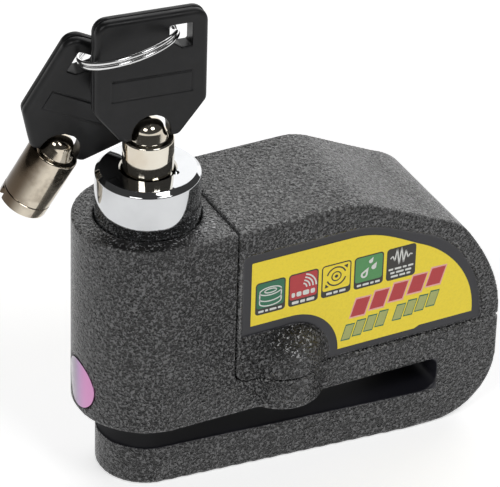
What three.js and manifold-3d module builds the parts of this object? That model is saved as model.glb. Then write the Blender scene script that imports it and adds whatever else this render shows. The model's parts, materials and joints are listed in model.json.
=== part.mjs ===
// Motorcycle disc brake lock with an alarm: a die-cast body with a slot for the brake disc, a push-down
// lock cylinder that drives the lock pin across the slot, an alarm under a separate cast cover, and two
// tubular keys on a split ring. Millimetres, +Z up, +X from the barrel to the nose, -Y is the front.
// The origin is on the lock pin's axis, on the flat underside of the lower jaw.
import * as THREE from 'three';
import { mergeVertices } from 'three/addons/utils/BufferGeometryUtils.js';
import Module from 'manifold-3d';

const wasm = await Module();
wasm.setup();

// ---------------------------------------------------------------- driving dimensions
const HALF = 13.8; // half the body's thickness, and the barrel's radius
const TOP = 53.7; // flat top of the body
const NOSE_X = 67.0; // furthest point of the nose
const RIDGE_X = 36.6; // where the flat top turns down
const SLOPE = 0.488; // fall of the sloping top per mm
const EDGE = 1.7; // rounding of the outer edges
const GAP = 0.3; // clearance between pieces that touch
const FIT = 0.1; // clearance around a round piece in its bore

const NOSE_Z = 22.5; // height at which the nose starts to lean back
const CHIN_X = 54.0; // centre of the big rounding under the nose
const CHIN_R = 13.0;
const SHOULDER_X = 54.2; // where the sloping top turns down to the nose

const SLOT_TOP = 14.5; // roof of the disc slot
const JAW_TOP = 7.9; // floor of the disc slot
const SLOT_END = 54.2; // closed end of the disc slot
const JAW_TIP = 9.3; // radius of the lower jaw's tip
const JAW_ROOT_X = 50; // where the lower jaw reaches full width

const SEAM_X = 11.6; // upright seam between barrel and alarm cover
const SEAM_Z = 21.0; // level seam under the alarm cover
const SEAM_CORNER = 2.6; // rounding of the cover's lower corner
const WALL = 2.4; // wall of the alarm cover
const CAVITY_LEFT = SEAM_X + 2.0; // left side of the alarm's room in the cover

const BOSS_X = 23.2; // screw boss standing out of both faces
const BOSS_Y = 9.0;
const BOSS_R = 8.0;
const BOSS_DOME_Z = 24.6; // centre of its domed top
const SCREW_Y = 12.0;
const SCREW_R = 1.7; // cover screw
const SCREW_HEAD_R = 3.5;
const SCREW_HEAD_TOP = 18.6;

const LABEL_DEPTH = 0.5; // sunk label field
const LABEL_TOP = 46.4;
const LABEL_BOTTOM = 22.6;
const LABEL_LEFT = 14.5;
const LABEL_STEP_X = 49.0; // the sticker's lower edge steps up here
const LABEL_STEP = 0.5;
const LABEL_BORDER = 1.9; // field left round the sticker
const LABEL_THICK = 0.3;

const TRAVEL = 8.5; // push of the lock cylinder
const CYL_R = 9.6; // lock cylinder
const CYL_BEVEL = 1.2;
const CYL_TOP = 63.2;
const CYL_BOTTOM = 27.0;
const BORE_R = 9.9;
const BORE_FLOOR = 18.2;
const CORE_R = 7.2; // parts inside the lock cylinder
const CHAMBER_Z = 36.8; // room of the drive cam and the latch bolt's yoke
const CRANK = 2.0; // throw of the drive cam's crank pin
const SHEAR_Z = 49.1; // shear line of the tumblers
const PLUG_FACE = 56.0;
const PIN_R = 3.5; // 7 mm lock pin
const PIN_TIP = 14.8;
const BOLT_Z = 38.5; // latch bolt
const BOLT_R = 1.9;
const TUMBLERS = 7;
const TUMBLER_PITCH = 3.85; // radius of the ring of tumblers
const TUMBLER_R = 0.75;
const PLUG_HOLE_Z = 20.5; // side plug in the barrel's end
const PLUG_HOLE_R = 4.9;
const STOP_R = 1.5; // travel stop pin behind the side plug
const SEAL_LOW = 50.2; // groove of the bore seal
const SEAL_HIGH = 51.9;
const SWITCH_X = 6.5; // arming switch under the lock cylinder
const SPRING_Y = 6.4; // return springs beside the lock pin
const SPRING_HOLE_R = 2.4;

const CASE = { x0: 15.3, x1: 57.6, y: 7.0, z0: 21.7, z1: 37.2, wall: 1.0 }; // inner case of the alarm
const CELLS = 6;
const CELL_R = 5.75;
const CELL_PITCH = 5.45;
const CELL_X = 18.4;
const CELL_Z = 28.6;
const SIREN_X = 28; // axis of the siren

const KEY_TOP = 94.6; // top edge of the inserted key's head
const KEY_HALF = 10.4; // half width of the head
const KEY_THICK = 3.4;
const KEY_SIDE = 18.3; // length of the head's straight sides
const KEY_FOOT = 24.9; // top edge to the foot of the head
const KEY_FOOT_HALF = 5.3;
const WINDOW_R = 3.6; // arched window in the head, round the shank's nose
const WINDOW_FOOT = 3.75; // half width of the window at the foot
const WINDOW_TOP = 19.9;
const SHOULDER = 25.05; // top edge of the head to the top of the shank's tube
const SHANK_R = 4.7;
const SHANK_BORE = 3.0;
const SHANK_TIP = 37.8; // top edge to the tip of the shank
const KEY_TURN = -7; // degrees, the inserted key's head against the body

const RING_R = 9.05; // split ring, middle of the wire
const RING_WIRE = 0.38;

// ---------------------------------------------------------------- materials
const finish = (color, roughness, metalness) => ({ color, roughness, metalness });
const HAMMERED = finish(0x3c3c3d, 0.5, 0.3);
const SATIN_BLACK = finish(0x39393c, 0.45, 0.1);
const YELLOW = finish(0xddc22f, 0.45, 0.0);
const CHROME = finish(0xe8e8ea, 0.08, 1.0);
const NICKEL = finish(0xcfc6b4, 0.18, 1.0);
const STEEL = finish(0xb4b6b8, 0.3, 1.0);
const BRASS = finish(0xb89a4e, 0.35, 1.0);
const LILAC = finish(0xc9a2d2, 0.15, 0.9);
const KEY_PLASTIC = finish(0x2f2f31, 0.45, 0.0);
const RUBBER = finish(0x1d1d1e, 0.8, 0.0);
const CASE_PLASTIC = finish(0x55585c, 0.55, 0.0);
const BOARD_GREEN = finish(0x2c6b3f, 0.5, 0.0);
const COPPER = finish(0xb9713f, 0.35, 1.0);

// ---------------------------------------------------------------- solids
const lock = new THREE.Group();
lock.name = 'disc_brake_lock';

function solid(geometry) {
  geometry.deleteAttribute('normal');
  geometry.deleteAttribute('uv');
  const merged = mergeVertices(geometry, 1e-4);
  const vertProperties = new Float32Array(merged.attributes.position.array);
  const triVerts = new Uint32Array(merged.index.array);
  return new wasm.Manifold(new wasm.Mesh({ numProp: 3, vertProperties, triVerts }));
}

function toGeometry(body) {
  const mesh = body.getMesh();
  const geometry = new THREE.BufferGeometry();
  geometry.setAttribute('position', new THREE.BufferAttribute(new Float32Array(mesh.vertProperties), 3));
  geometry.setIndex(new THREE.BufferAttribute(new Uint32Array(mesh.triVerts), 1));
  geometry.computeVertexNormals();
  return geometry;
}

function addNode(name, body, look, parent = lock) {
  const mesh = new THREE.Mesh(toGeometry(body), new THREE.MeshStandardMaterial(look));
  mesh.name = name;
  parent.add(mesh);
  return mesh;
}

function box(x0, x1, y0, y1, z0, z1) {
  const geometry = new THREE.BoxGeometry(x1 - x0, y1 - y0, z1 - z0);
  geometry.translate((x0 + x1) / 2, (y0 + y1) / 2, (z0 + z1) / 2);
  return solid(geometry);
}

function rodZ(r, z0, z1, x = 0, y = 0, sides = 32) {
  const geometry = new THREE.CylinderGeometry(r, r, z1 - z0, sides);
  geometry.rotateX(Math.PI / 2);
  geometry.translate(x, y, (z0 + z1) / 2);
  return solid(geometry);
}

function rodX(r, x0, x1, y = 0, z = 0, sides = 32) {
  const geometry = new THREE.CylinderGeometry(r, r, x1 - x0, sides);
  geometry.rotateZ(Math.PI / 2);
  geometry.translate((x0 + x1) / 2, y, z);
  return solid(geometry);
}

// A solid turned about Z from [radius, z] pairs that start and end on the axis.
function turned(profile, sides = 32) {
  const points = profile.map(([r, z]) => new THREE.Vector2(r, z));
  const geometry = new THREE.LatheGeometry(points, sides);
  geometry.rotateX(Math.PI / 2);
  return solid(geometry);
}

// A plan outline pulled up Z; the top and bottom edges are rounded by edge.
function prismZ(outline, z0, z1, edge = 0, steps = 3, curveSegments = 12) {
  const geometry = new THREE.ExtrudeGeometry(outline, {
    depth: z1 - z0 - 2 * edge,
    bevelEnabled: edge > 0,
    bevelThickness: edge,
    bevelSize: edge,
    bevelOffset: -edge,
    bevelSegments: steps,
    curveSegments,
  });
  geometry.translate(0, 0, z0 + edge);
  return solid(geometry);
}

// An outline in X and Z pushed through Y.
function prismY(outline, y0, y1, edge = 0, steps = 3, curveSegments = 12) {
  const geometry = new THREE.ExtrudeGeometry(outline, {
    depth: y1 - y0 - 2 * edge,
    bevelEnabled: edge > 0,
    bevelThickness: edge,
    bevelSize: edge,
    bevelOffset: -edge,
    bevelSegments: steps,
    curveSegments,
  });
  geometry.rotateX(Math.PI / 2);
  geometry.translate(0, y1 - edge, 0);
  return solid(geometry);
}

function unite(...bodies) {
  return bodies.reduce((sum, body) => sum.add(body));
}

function cut(body, ...tools) {
  return tools.reduce((rest, tool) => rest.subtract(tool), body);
}

const SIDES = [-1, 1]; // front and back

// ---------------------------------------------------------------- outer shape
// Side outline, inset all round by a wall; the sloping top and the nose are its round stretches.
function sideOutline(inset, left, top) {
  const slopeZ = (x) => TOP - inset * 1.1 - SLOPE * (x - RIDGE_X);
  const nose = NOSE_X - inset;
  const shape = new THREE.Shape();
  const brow = [59.7 - inset, 41.0 - inset];
  const shoulderX = SHOULDER_X - inset * 0.8;
  shape.moveTo(left, inset);
  shape.lineTo(CHIN_X, inset);
  shape.absarc(CHIN_X, CHIN_R, CHIN_R - inset, -Math.PI / 2, 0, false);
  shape.lineTo(nose, NOSE_Z);
  shape.bezierCurveTo(nose, 29.5 - inset * 0.4, 63.1 - inset * 0.9, 36.2 - inset * 0.5, ...brow);
  shape.quadraticCurveTo(57.6 - inset, 43.7 - inset, shoulderX, slopeZ(shoulderX));
  const ridge = RIDGE_X - (top - (TOP - inset * 1.1)) / SLOPE;
  shape.lineTo(ridge, top);
  shape.lineTo(left, top);
  return shape;
}

function roundEnded(radius, right, halfRight, rootX) {
  const shape = new THREE.Shape();
  shape.moveTo(0, -radius);
  shape.lineTo(rootX, -halfRight);
  shape.lineTo(right, -halfRight);
  shape.lineTo(right, halfRight);
  shape.lineTo(rootX, halfRight);
  shape.lineTo(0, radius);
  shape.absarc(0, 0, radius, Math.PI / 2, (Math.PI * 3) / 2, false);
  return shape;
}

const MID_SLOT = (SLOT_TOP + JAW_TOP) / 2;
const sideForm = prismY(sideOutline(0, -30, TOP + 4), -HALF, HALF, EDGE, 3, 8);
const upperPlan = roundEnded(HALF, NOSE_X + 10, HALF, 30);
const upperForm = prismZ(upperPlan, -10, TOP, EDGE, 3, 14).subtract(box(-30, 90, -30, 30, -20, MID_SLOT));
const jawPlan = roundEnded(JAW_TIP, NOSE_X + 10, HALF, JAW_ROOT_X);
const jawForm = prismZ(jawPlan, 0, 30, EDGE, 2, 10).subtract(box(-30, 90, -30, 30, MID_SLOT, 40));

function screwBoss(side) {
  const column = rodZ(BOSS_R, SLOT_TOP, BOSS_DOME_Z, BOSS_X, side * BOSS_Y, 32);
  const dome = new THREE.SphereGeometry(BOSS_R, 32, 16);
  dome.rotateX(Math.PI / 2);
  dome.translate(BOSS_X, side * BOSS_Y, BOSS_DOME_Z);
  return column.add(solid(dome));
}

const plainForm = unite(upperForm, jawForm).intersect(sideForm);
const outerForm = unite(plainForm, ...SIDES.map(screwBoss));

// ---------------------------------------------------------------- disc slot
function slotOutline() {
  const upperCorner = 1.6;
  const lowerCorner = 2.6;
  const shape = new THREE.Shape();
  shape.moveTo(-40, JAW_TOP);
  shape.lineTo(SLOT_END - lowerCorner, JAW_TOP);
  shape.absarc(SLOT_END - lowerCorner, JAW_TOP + lowerCorner, lowerCorner, -Math.PI / 2, 0, false);
  shape.absarc(SLOT_END - upperCorner, SLOT_TOP - upperCorner, upperCorner, 0, Math.PI / 2, false);
  shape.lineTo(-40, SLOT_TOP);
  return shape;
}
const discSlot = prismY(slotOutline(), -30, 30, 0, 1, 6);

// ---------------------------------------------------------------- split between barrel and alarm cover
function coverRegion(clearance) {
  const left = SEAM_X + clearance;
  const bottom = SEAM_Z + clearance;
  const r = SEAM_CORNER - clearance;
  const shape = new THREE.Shape();
  shape.moveTo(left, 80);
  shape.lineTo(left, bottom + r);
  shape.absarc(left + r, bottom + r, r, Math.PI, (Math.PI * 3) / 2, false);
  shape.lineTo(90, bottom);
  shape.lineTo(90, 80);
  return prismY(shape, -40, 40, 0, 1, 5);
}

// ---------------------------------------------------------------- label field
// Outline of the sunk field or of the sticker: grow is the border left round the sticker.
function labelOutline(grow) {
  const left = LABEL_LEFT - grow;
  const top = LABEL_TOP + grow;
  const foot = grow > 0 ? SEAM_Z - 1 : LABEL_BOTTOM;
  const archR = 10 - grow;
  const archX = 22.8;
  const archZ = 22.8;
  const ledge = archZ + archR;
  const shape = new THREE.Shape();
  shape.moveTo(left, top);
  shape.lineTo(left, ledge);
  shape.lineTo(archX, ledge);
  shape.absarc(archX, archZ, archR, Math.PI / 2, Math.asin((foot - archZ) / archR), true);
  shape.lineTo(LABEL_STEP_X, foot);
  shape.lineTo(LABEL_STEP_X + 1, foot + LABEL_STEP);
  shape.lineTo(61.2 + grow, foot + LABEL_STEP);
  shape.bezierCurveTo(61.6 + grow, 31, 56 + grow, 38.4 + grow, 49 + grow * 0.7, 41.4 + grow);
  shape.bezierCurveTo(44.5, 43.8 + grow, 40.5, LABEL_TOP + grow, 35.2, top);
  return shape;
}

// A slab of the outline between two depths below the front or back face.
function labelSlab(outline, side, deep, shallow) {
  const y0 = side * (HALF - deep);
  const y1 = side * (HALF - shallow);
  return prismY(outline, Math.min(y0, y1), Math.max(y0, y1), 0, 1, 8);
}

// ---------------------------------------------------------------- main casting
function mainBody() {
  const casting = cut(outerForm, discSlot, coverRegion(-GAP / 2));
  const screwHoles = SIDES.flatMap((side) => [
    rodZ(SCREW_R + 0.6, SLOT_TOP - 1, SEAM_Z + 1, BOSS_X, side * SCREW_Y, 20),
    rodZ(SCREW_HEAD_R + GAP, SLOT_TOP - 1, SCREW_HEAD_TOP + GAP, BOSS_X, side * SCREW_Y, 24),
  ]);
  return cut(
    casting,
    rodZ(BORE_R, BORE_FLOOR, TOP + 1),
    rodZ(11, SEAL_LOW, SEAL_HIGH),
    rodZ(PIN_R + FIT, SLOT_TOP - 1, BORE_FLOOR + 1),
    rodZ(PIN_R + 0.4, 4.2, JAW_TOP + 1), // blind pin hole in the lower jaw
    rodX(BOLT_R + 0.4, -12.2, -8, 0, BOLT_Z, 20), // latch pocket, cylinder up
    rodX(BOLT_R + 0.4, -12.2, -8, 0, BOLT_Z - TRAVEL, 20), // latch pocket, cylinder down
    rodX(PLUG_HOLE_R + FIT, -HALF - 2, -10.3, 0, PLUG_HOLE_Z),
    rodX(STOP_R + FIT, -11, -8, 0, PLUG_HOLE_Z, 16),
    box(SWITCH_X - 2.4, SWITCH_X + 2.4, -2.4, 2.4, 15.8, BORE_FLOOR + 0.5), // switch pocket
    ...screwHoles,
  );
}

// ---------------------------------------------------------------- alarm cover
function alarmCover() {
  const block = outerForm.intersect(coverRegion(GAP / 2));
  const inner = prismY(sideOutline(WALL, CAVITY_LEFT, TOP - WALL), -(HALF - WALL), HALF - WALL, 0, 1, 6);
  const bosses = unite(...SIDES.map((side) => rodZ(4.2, 10, BOSS_DOME_Z + 8, BOSS_X, side * SCREW_Y, 24)));
  const cavity = inner.subtract(bosses);
  const screwHoles = SIDES.map((side) => rodZ(SCREW_R + FIT, SEAM_Z - 1, 29.6, BOSS_X, side * SCREW_Y, 20));
  // The boss stands through the label field, so the field is not cut into it.
  const fields = SIDES.map((side) => {
    return labelSlab(labelOutline(LABEL_BORDER), side, LABEL_DEPTH, -3).subtract(screwBoss(side));
  });
  return cut(block, cavity, ...screwHoles, ...fields);
}

// ---------------------------------------------------------------- housing pieces
function coverGasket() {
  const outer = box(CAVITY_LEFT + GAP, 61.5, -11.1, 11.1, SEAM_Z - 0.05, SEAM_Z + 0.45);
  const inner = box(CAVITY_LEFT + 1.6, 60.2, -9.8, 9.8, SEAM_Z - 1, SEAM_Z + 2);
  const post = (r, side) => rodZ(r, SEAM_Z - 2, SEAM_Z + 3, BOSS_X, side * SCREW_Y, 24);
  const around = (r) => unite(...SIDES.map((side) => post(r, side)));
  return cut(outer, around(4.5), cut(inner, around(5.8)));
}

function coverScrew(side) {
  const head = rodZ(SCREW_HEAD_R, SLOT_TOP + GAP, SCREW_HEAD_TOP, BOSS_X, side * SCREW_Y, 24);
  const shank = rodZ(SCREW_R, SCREW_HEAD_TOP - GAP, 29.2, BOSS_X, side * SCREW_Y, 20);
  const socket = rodZ(1.6, SLOT_TOP, SLOT_TOP + 2.3, BOSS_X, side * SCREW_Y, 6);
  return cut(unite(head, shank), socket);
}

function endPlug() {
  return rodX(PLUG_HOLE_R, -HALF - 1, -10.5, 0, PLUG_HOLE_Z).intersect(rodZ(HALF, 10, 30, 0, 0, 56));
}

function travelStop() {
  return rodX(STOP_R, -10.3, -2.9, 0, PLUG_HOLE_Z, 16);
}

function boreSeal() {
  return cut(rodZ(10.9, SEAL_LOW + 0.2, SEAL_HIGH - 0.2), rodZ(9.75, 50, 52));
}

function armingSwitch() {
  const body = box(SWITCH_X - 2.2, SWITCH_X + 2.2, -2.2, 2.2, 16.0, 18.1);
  return cut(body, rodZ(0.9, 16.4, 19, SWITCH_X, 0, 12));
}

function switchPlunger() {
  return rodZ(0.75, 17.95, 19.9, SWITCH_X, 0, 12);
}

// ---------------------------------------------------------------- lock cylinder
function lockCylinder() {
  const rim = CYL_R - CYL_BEVEL * 0.75;
  const outer = turned([
    [0, CYL_BOTTOM],
    [CYL_R - CYL_BEVEL, CYL_BOTTOM],
    [CYL_R, CYL_BOTTOM + CYL_BEVEL],
    [CYL_R, CYL_TOP - CYL_BEVEL],
    [(CYL_R + rim) / 2, CYL_TOP - CYL_BEVEL * 0.3],
    [rim, CYL_TOP],
    [0, CYL_TOP],
  ], 40);
  return cut(
    outer,
    rodZ(CORE_R + FIT, CHAMBER_Z, CYL_TOP - 1.6),
    rodZ(SHANK_R + 0.25, 50, CYL_TOP + 1),
    rodX(BOLT_R + FIT, -CYL_R - 1, -1.5, 0, BOLT_Z, 20),
    rodZ(PIN_R + FIT, CYL_BOTTOM - 1, 35.8),
    box(-CYL_R - 1, -3, -1.8, 1.8, CYL_BOTTOM - 1, CYL_BOTTOM + 5.6), // slot over the travel stop
    ...SIDES.map((side) => rodZ(SPRING_HOLE_R, CYL_BOTTOM - 1, 35.8, 0, side * SPRING_Y, 16)),
  );
}

function lockPin() {
  const head = 35.6;
  const body = turned([
    [0, PIN_TIP],
    [PIN_R - 0.6, PIN_TIP],
    [PIN_R, PIN_TIP + 0.6],
    [PIN_R, head],
    [0, head],
  ]);
  return body.subtract(box(-5, -2.6, -1.8, 1.8, PLUG_HOLE_Z - 1.8, PLUG_HOLE_Z + TRAVEL + 1.8));
}

function tumblerPoint(i) {
  const a = (i / TUMBLERS) * Math.PI * 2 + 0.35;
  return [TUMBLER_PITCH * Math.cos(a), TUMBLER_PITCH * Math.sin(a)];
}

function tumbler(i, z0, z1) {
  return rodZ(TUMBLER_R, z0, z1, ...tumblerPoint(i), 10);
}

function tumblerHoles(z0, z1) {
  return Array.from({ length: TUMBLERS }, (_, i) => rodZ(TUMBLER_R + FIT, z0, z1, ...tumblerPoint(i), 12));
}

function tumblerBarrel() {
  return cut(rodZ(CORE_R, 41.3, SHEAR_Z - 0.1), rodZ(2.1, 41, 50, 0, 0, 20), ...tumblerHoles(42, 50));
}

function lockPlug() {
  const body = turned([
    [0, 41.2],
    [2.0, 41.2],
    [2.0, SHEAR_Z + 0.1],
    [CORE_R, SHEAR_Z + 0.1],
    [CORE_R, PLUG_FACE],
    [2.6, PLUG_FACE],
    [2.6, CYL_TOP - 1.0],
    [2.2, CYL_TOP - 0.6],
    [0, CYL_TOP - 0.6],
  ]);
  return cut(body, ...tumblerHoles(48, PLUG_FACE + 1));
}

function driveCam() {
  return unite(rodZ(3.0, 39.7, 41.05, 0, 0, 24), rodZ(0.7, 37.3, 40, 0, -CRANK, 12));
}

function latchBolt() {
  const bolt = rodX(BOLT_R, -CYL_R + 0.15, -3.4, 0, BOLT_Z, 20);
  const yoke = box(-4.2, 2.2, -4.2, 0.9, 37.3, 39.3);
  const clearYoke = box(-1.05, 1.05, -3.4, -0.1, 37, 40);
  const flatTop = box(-5.0, 3, -5, 5, 39.35, 42);
  return cut(unite(bolt, yoke), clearYoke, flatTop);
}

// A wire wound about Z, with plain ends; rise gives its height at each turn counted from the start.
function coil(radius, wire, rise, turns, sides, stepsPerTurn) {
  class Winding extends THREE.Curve {
    getPoint(t, target = new THREE.Vector3()) {
      const a = t * turns * Math.PI * 2;
      return target.set(radius * Math.cos(a), radius * Math.sin(a), rise(t * turns));
    }
  }
  const section = new THREE.Shape();
  section.absarc(0, 0, wire, 0, Math.PI * 2, false);
  return solid(new THREE.ExtrudeGeometry(section, {
    steps: Math.round(turns * stepsPerTurn),
    extrudePath: new Winding(),
    bevelEnabled: false,
    curveSegments: sides,
  }));
}

function returnSpring(side) {
  const foot = BORE_FLOOR + 0.55;
  const turns = 7;
  const pitch = (35.3 - foot) / turns;
  return coil(1.75, 0.35, (turn) => foot + turn * pitch, turns, 3, 8).translate([0, side * SPRING_Y, 0]);
}

// ---------------------------------------------------------------- alarm
function alarmCase() {
  const outer = box(CASE.x0, CASE.x1, -CASE.y, CASE.y, CASE.z0, CASE.z1);
  const w = CASE.wall;
  return outer.subtract(box(CASE.x0 + w, CASE.x1 - w, -CASE.y + w, CASE.y - w, CASE.z0 + w, CASE.z1 + 1));
}

function caseLid() {
  return unite(
    box(CASE.x0, CASE.x1 - 0.8, -CASE.y, CASE.y, CASE.z1 + 0.1, CASE.z1 + 1.3),
    rodZ(3.2, CASE.z1 + 1, 40.7, SIREN_X, 0, 20),
  );
}

function buttonCell(i) {
  const x = CELL_X + i * CELL_PITCH;
  return unite(rodX(CELL_R, x, x + 4.6, 0, CELL_Z, 24), rodX(CELL_R - 1.0, x + 4.4, x + 5.3, 0, CELL_Z, 24));
}

function alarmBoard() {
  return box(17.0, 56.0, -5.9, 5.9, 34.9, 35.9);
}

function sirenCup() {
  return cut(rodZ(10.4, 40.9, 47.2, SIREN_X, 0, 36), rodZ(9.4, 41.8, 48, SIREN_X, 0, 36));
}

function contactSpring() {
  return coil(3.4, 0.3, (turn) => turn * 1.07, 3, 3, 10).rotate([0, 90, 0]).translate([51.7, 0, CELL_Z]);
}

// ---------------------------------------------------------------- keys
// A key stands on its own axis: x across the head, z up, z = 0 on the head's top edge.
function keyHeadOutline() {
  const corner = 2.6;
  const shape = new THREE.Shape();
  shape.moveTo(-KEY_HALF, -KEY_SIDE);
  shape.lineTo(-KEY_FOOT_HALF, -KEY_FOOT);
  shape.lineTo(KEY_FOOT_HALF, -KEY_FOOT);
  shape.lineTo(KEY_HALF, -KEY_SIDE);
  shape.lineTo(KEY_HALF, -corner);
  shape.absarc(KEY_HALF - corner, -corner, corner, 0, Math.PI / 2, false);
  shape.lineTo(-KEY_HALF + corner, 0);
  shape.absarc(-KEY_HALF + corner, -corner, corner, Math.PI / 2, Math.PI, false);
  return shape;
}

function ringHoleOutline() {
  const shape = new THREE.Shape();
  shape.moveTo(3.2, -2.3);
  shape.lineTo(3.2, -5.2);
  shape.lineTo(5.4, -7.0);
  shape.lineTo(7.4, -7.0);
  shape.lineTo(7.4, -2.3);
  return shape;
}

function windowOutline() {
  const shape = new THREE.Shape();
  shape.moveTo(-WINDOW_FOOT, -KEY_FOOT - 3);
  shape.lineTo(WINDOW_FOOT, -KEY_FOOT - 3);
  shape.lineTo(WINDOW_R, -WINDOW_TOP - WINDOW_R);
  shape.absarc(0, -WINDOW_TOP - WINDOW_R, WINDOW_R, 0, Math.PI, false);
  return shape;
}

function keyHead() {
  const blade = prismY(keyHeadOutline(), -KEY_THICK / 2, KEY_THICK / 2, 0.5, 1, 5);
  return cut(blade, prismY(ringHoleOutline(), -5, 5), prismY(windowOutline(), -5, 5, 0, 1, 12));
}

function keyShank() {
  const outside = turned([
    [0, -SHANK_TIP],
    [SHANK_R - 0.3, -SHANK_TIP],
    [SHANK_R, -SHANK_TIP + 0.3],
    [SHANK_R, -SHOULDER - 0.3],
    [SHANK_R - 0.3, -SHOULDER],
    [3.45, -SHOULDER],
    [2.75, -SHOULDER + 1.65],
    [2.35, -SHOULDER + 2.8],
    [1.3, -SHOULDER + 3.6],
    [0, -SHOULDER + 3.85],
  ]);
  const bore = rodZ(SHANK_BORE, -SHANK_TIP - 1, -SHOULDER - 1.5, 0, 0, 24);
  const notch = box(2, 6, -0.8, 0.8, -SHANK_TIP - 1, -SHANK_TIP + 2.2);
  return cut(outside, bore, notch);
}

function addKey(prefix, place) {
  const key = new THREE.Group();
  place(key);
  addNode(`${prefix}_head`, keyHead(), KEY_PLASTIC, key);
  addNode(`${prefix}_shank`, keyShank(), NICKEL, key);
  lock.add(key);
}

// Two close turns; the wire steps from one to the other in the gap between its two ends.
function splitRing() {
  const offset = RING_WIRE + 0.03;
  const stepFrom = 0.915;
  const stepTo = 0.985;
  const rise = (turn) => offset * (2 * THREE.MathUtils.smoothstep(turn, stepFrom, stepTo) - 1);
  return coil(RING_R, RING_WIRE, rise, 1 + stepFrom - 0.01, 4, 44);
}

// ---------------------------------------------------------------- assembly
addNode('main_body', mainBody(), HAMMERED);
addNode('alarm_cover', alarmCover(), HAMMERED);
addNode('cover_gasket', coverGasket(), RUBBER);
for (const [side, word] of [[-1, 'front'], [1, 'back']]) {
  const sticker = labelSlab(labelOutline(0), side, LABEL_DEPTH - 0.05, LABEL_DEPTH - 0.05 - LABEL_THICK);
  addNode(`label_${word}`, sticker, YELLOW);
  addNode(`cover_screw_${word}`, coverScrew(side), STEEL);
  addNode(`return_spring_${word}`, returnSpring(side), STEEL);
}
addNode('end_plug', endPlug(), LILAC);
addNode('travel_stop', travelStop(), STEEL);
addNode('bore_seal', boreSeal(), RUBBER);
addNode('arming_switch', armingSwitch(), SATIN_BLACK);
addNode('switch_plunger', switchPlunger(), STEEL);

addNode('lock_cylinder', lockCylinder(), CHROME);
addNode('lock_pin', lockPin(), STEEL);
addNode('tumbler_barrel', tumblerBarrel(), BRASS);
addNode('lock_plug', lockPlug(), BRASS);
addNode('drive_cam', driveCam(), STEEL);
addNode('latch_bolt', latchBolt(), STEEL);
for (let i = 0; i < TUMBLERS; i += 1) {
  addNode(`driver_pin_${i + 1}`, tumbler(i, 43 + (i % 3), SHEAR_Z - 0.15), STEEL);
  addNode(`key_pin_${i + 1}`, tumbler(i, SHEAR_Z + 0.15, PLUG_FACE + 0.1), BRASS);
}

addNode('alarm_case', alarmCase(), CASE_PLASTIC);
addNode('case_lid', caseLid(), CASE_PLASTIC);
addNode('circuit_board', alarmBoard(), BOARD_GREEN);
addNode('control_chip', box(44, 50, -3, 3, 36.0, 36.9), SATIN_BLACK);
addNode('shock_sensor', rodX(0.45, 20, 27, 0, 36.4, 12), STEEL);
addNode('siren_cup', sirenCup(), CASE_PLASTIC);
addNode('siren_disc', rodZ(9.2, 42.0, 42.4, SIREN_X, 0, 32), BRASS);
for (let i = 0; i < CELLS; i += 1) {
  addNode(`button_cell_${i + 1}`, buttonCell(i), STEEL);
}
addNode('contact_plate', box(16.6, 17.0, -3, 3, CELL_Z - 5, CELL_Z + 5), COPPER);
addNode('contact_spring', contactSpring(), COPPER);

addKey('key_1', (key) => {
  key.rotation.z = THREE.MathUtils.degToRad(KEY_TURN);
  key.position.z = KEY_TOP;
});
addKey('key_2', (key) => {
  const toTip = new THREE.Vector3(-0.39, 0.252, -0.886).normalize();
  const across = new THREE.Vector3(0.892, -0.138, -0.431);
  across.addScaledVector(toTip, -across.dot(toTip)).normalize();
  const x = across.clone().negate();
  const z = toTip.clone().negate();
  const y = new THREE.Vector3().crossVectors(z, x);
  key.quaternion.setFromRotationMatrix(new THREE.Matrix4().makeBasis(x, y, z));
  key.position.set(-3.35, 4.95, 85.9);
});
const ringPlace = new THREE.Group();
ringPlace.quaternion.setFromUnitVectors(
  new THREE.Vector3(0, 0, 1),
  new THREE.Vector3(-0.186, 0.319, 0.929).normalize(),
);
ringPlace.position.set(-2.9, 2.66, 87.5);
lock.add(ringPlace);
addNode('key_ring', splitRing(), STEEL, ringPlace);

export default lock;
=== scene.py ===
import json
import math

import bmesh
import bpy
import numpy as np
from mathutils import Matrix, Vector


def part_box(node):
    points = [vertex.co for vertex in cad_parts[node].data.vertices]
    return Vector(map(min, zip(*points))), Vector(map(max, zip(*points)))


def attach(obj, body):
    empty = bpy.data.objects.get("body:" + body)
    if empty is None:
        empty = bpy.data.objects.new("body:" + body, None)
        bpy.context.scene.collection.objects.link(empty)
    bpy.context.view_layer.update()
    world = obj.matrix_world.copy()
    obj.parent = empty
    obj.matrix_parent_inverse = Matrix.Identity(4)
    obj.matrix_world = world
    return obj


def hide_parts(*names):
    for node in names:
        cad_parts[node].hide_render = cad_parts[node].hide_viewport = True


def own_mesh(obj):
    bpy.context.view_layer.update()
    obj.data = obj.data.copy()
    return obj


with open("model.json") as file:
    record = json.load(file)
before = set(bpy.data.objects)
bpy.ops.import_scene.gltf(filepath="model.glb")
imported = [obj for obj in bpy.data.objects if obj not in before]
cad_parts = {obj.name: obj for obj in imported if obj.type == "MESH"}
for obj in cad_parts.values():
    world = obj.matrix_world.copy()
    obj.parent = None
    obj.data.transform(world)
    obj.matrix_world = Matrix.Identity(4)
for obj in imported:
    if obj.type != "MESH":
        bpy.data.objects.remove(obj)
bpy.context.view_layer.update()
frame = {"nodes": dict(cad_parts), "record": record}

# Every piece is modelled in millimetres and scaled to metres by finish_piece, in the frame of the CAD.
MM = 0.001

# ---------------------------------------------------------------- sizes, millimetres


def node_box(name):
    low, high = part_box(name)
    return Vector(low) / MM, Vector(high) / MM


body_low, body_high = node_box("main_body")
cover_low, cover_high = node_box("alarm_cover")
sleeve_low, sleeve_high = node_box("lock_cylinder")
plug_low, plug_high = node_box("end_plug")
sticker_low, sticker_high = node_box("label_front")

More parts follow.
